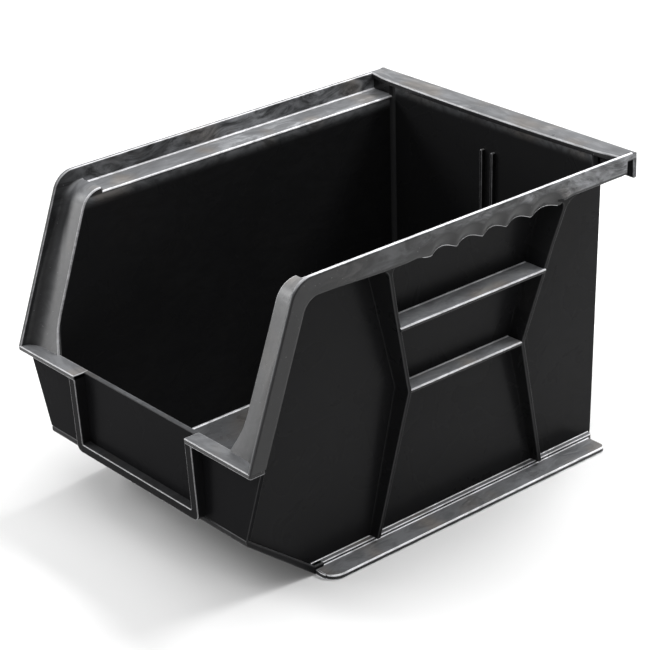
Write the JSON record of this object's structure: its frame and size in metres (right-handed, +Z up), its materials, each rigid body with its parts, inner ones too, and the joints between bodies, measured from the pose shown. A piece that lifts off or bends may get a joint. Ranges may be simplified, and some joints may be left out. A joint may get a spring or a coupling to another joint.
{
  "type": "stacking plastic crate",
  "caption": "Open-front stacking and hanging storage crate with ribbed sides, a low hopper mouth, a slip-in label frame, stacking ledges and a rear hanging lip.",
  "frame": {"origin": "centre of the footprint, on the plane that the crate stands on", "axes": "+X to the right side seen from the front, -Y to the open front, +Y to the hanging lip, +Z up"},
  "size_m": [0.21, 0.28, 0.182],
  "materials": {
    "body_plastic": "satin black polypropylene, moulded",
    "rim_plastic": "satin black polypropylene, scuffed and slightly worn smooth"
  },
  "bodies": {
    "root": {"back_header": "body_plastic", "back_wall": "body_plastic", "floor_panel": "body_plastic", "front_slope_panel": "body_plastic", "front_wall": "body_plastic", "hanger_lip": "rim_plastic", "label_base_bar": "body_plastic", "left_base_flange": "rim_plastic", "left_base_sill": "rim_plastic", "left_cross_rib_lower": "rim_plastic", "left_cross_rib_upper": "rim_plastic", "left_finger_grip": "rim_plastic", "left_front_divider_rail": "body_plastic", "left_front_flange": "rim_plastic", "left_front_rib_lower": "body_plastic", "left_front_rib_upper": "body_plastic", "left_hopper_ledge": "rim_plastic", "left_hopper_lip": "rim_plastic", "left_label_bar": "body_plastic", "left_rear_divider_rail": "body_plastic", "left_rear_rib_lower": "body_plastic", "left_rear_rib_upper": "body_plastic", "left_rim_ledge": "rim_plastic", "left_rim_lip": "rim_plastic", "left_side_wall": "body_plastic", "rear_shelf": "rim_plastic", "right_base_flange": "rim_plastic", "right_base_sill": "rim_plastic", "right_cross_rib_lower": "rim_plastic", "right_cross_rib_upper": "rim_plastic", "right_finger_grip": "rim_plastic", "right_front_divider_rail": "body_plastic", "right_front_flange": "rim_plastic", "right_front_rib_lower": "body_plastic", "right_front_rib_upper": "body_plastic", "right_hopper_ledge": "rim_plastic", "right_hopper_lip": "rim_plastic", "right_label_bar": "body_plastic", "right_rear_divider_rail": "body_plastic", "right_rear_rib_lower": "body_plastic", "right_rear_rib_upper": "body_plastic", "right_rim_ledge": "rim_plastic", "right_rim_lip": "rim_plastic", "right_side_wall": "body_plastic"}
  },
  "joints": []
}
